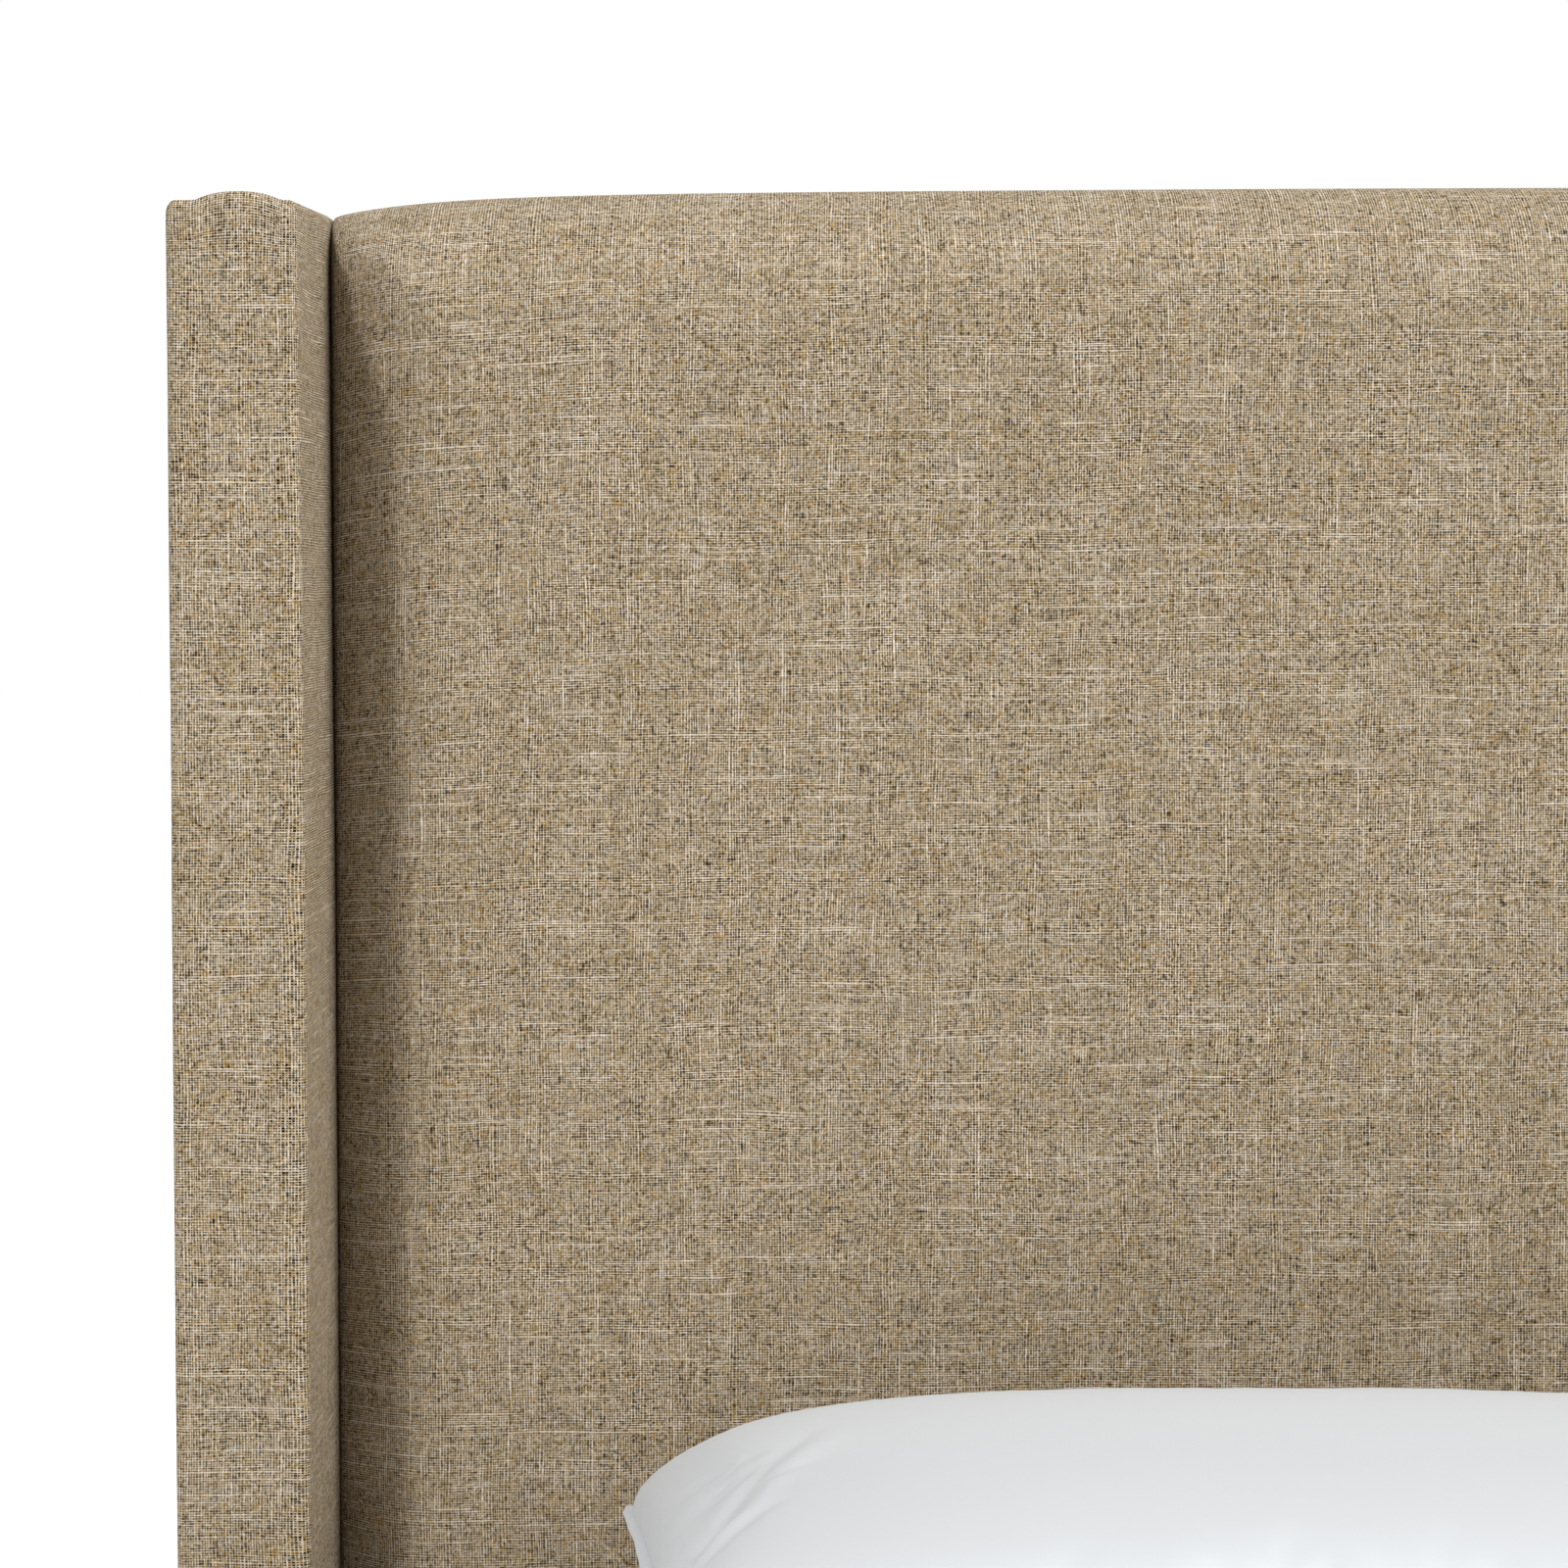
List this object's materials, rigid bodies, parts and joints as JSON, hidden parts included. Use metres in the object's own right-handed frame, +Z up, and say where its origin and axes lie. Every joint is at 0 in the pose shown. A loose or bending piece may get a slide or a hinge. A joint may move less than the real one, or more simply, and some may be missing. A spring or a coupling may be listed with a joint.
{
  "type": "upholstered wingback bed",
  "caption": "Queen-size bed with a tall linen-covered padded headboard between two straight wings, padded rails, slatted deck, mattress and two white pillows",
  "frame": {"origin": "on the floor, under the middle of the whole bed", "axes": "+Z up, +Y towards the head end, +X to the right for someone standing at the foot and facing the headboard"},
  "size_m": [1.703, 2.206, 1.372],
  "materials": {
    "linen": "matte",
    "foam": "matte",
    "pine": "matte",
    "plywood": "matte",
    "hardboard": "matte",
    "dust_cloth": "matte",
    "steel": "satin",
    "glide_plastic": "matte",
    "leg_wood": "satin",
    "webbing": "matte",
    "mattress_filling": "matte",
    "ticking": "matte",
    "pillow_filling": "matte",
    "pillow_cotton": "matte"
  },
  "bodies": {
    "bed": {"headboard_cover": "linen", "wing_left_cover": "linen", "wing_right_cover": "linen", "side_rail_left_cover": "linen", "side_rail_right_cover": "linen", "foot_rail_cover": "linen", "headboard_pad": "foam", "wing_left_pad": "foam", "wing_right_pad": "foam", "side_rail_left_pad": "foam", "side_rail_right_pad": "foam", "foot_rail_pad": "foam", "headboard_top_rail": "pine", "headboard_middle_rail": "pine", "headboard_deck_rail": "pine", "headboard_bottom_rail": "pine", "headboard_left_stile": "pine", "headboard_right_stile": "pine", "headboard_studs": "pine", "wing_left_front_stile": "pine", "wing_right_front_stile": "pine", "wing_left_back_stile": "pine", "wing_right_back_stile": "pine", "wing_rungs": "pine", "side_rail_left_board": "pine", "side_rail_right_board": "pine", "foot_rail_board": "pine", "side_rail_left_ledger": "pine", "side_rail_right_ledger": "pine", "corner_blocks": "pine", "centre_beam": "pine", "centre_legs": "pine", "slats": "pine", "headboard_plywood": "plywood", "wing_skins": "hardboard", "headboard_dust_cover": "dust_cloth", "dust_cover_staples": "steel", "wing_bolts": "steel", "wing_tee_nuts": "steel", "ledger_screws": "steel", "joining_plates": "steel", "corner_brackets": "steel", "bracket_screws": "steel", "leg_bolts": "steel", "beam_hangers": "steel", "hanger_screws": "steel", "wing_glides": "glide_plastic", "leg_glides": "glide_plastic", "foot_leg_left": "leg_wood", "foot_leg_right": "leg_wood", "slat_straps": "webbing"},
    "mattress": {"mattress_core": "mattress_filling", "mattress_cover": "ticking"},
    "pillow_left": {"pillow_left_filling": "pillow_filling", "pillow_left_case": "pillow_cotton"},
    "pillow_right": {"pillow_right_filling": "pillow_filling", "pillow_right_case": "pillow_cotton"},
    "leveller_1": {"levelling_foot_1": "glide_plastic"},
    "leveller_2": {"levelling_foot_2": "glide_plastic"},
    "leveller_3": {"levelling_foot_3": "glide_plastic"}
  },
  "joints": [
    {"name": "mattress_lift", "type": "slide", "parent": "bed", "child": "mattress", "axis": [0, 0, 1], "range_m": [0, 1.06]},
    {"name": "pillow_left_lift", "type": "slide", "parent": "mattress", "child": "pillow_left", "axis": [0, 0, 1], "range_m": [0, 0.75]},
    {"name": "pillow_right_lift", "type": "slide", "parent": "mattress", "child": "pillow_right", "axis": [0, 0, 1], "range_m": [0, 0.75]},
    {"name": "leveller_1_screw", "type": "slide", "parent": "bed", "child": "leveller_1", "axis": [0, 0, 1], "range_m": [-0.02, 0]},
    {"name": "leveller_2_screw", "type": "slide", "parent": "bed", "child": "leveller_2", "axis": [0, 0, 1], "range_m": [-0.02, 0]},
    {"name": "leveller_3_screw", "type": "slide", "parent": "bed", "child": "leveller_3", "axis": [0, 0, 1], "range_m": [-0.02, 0]}
  ]
}
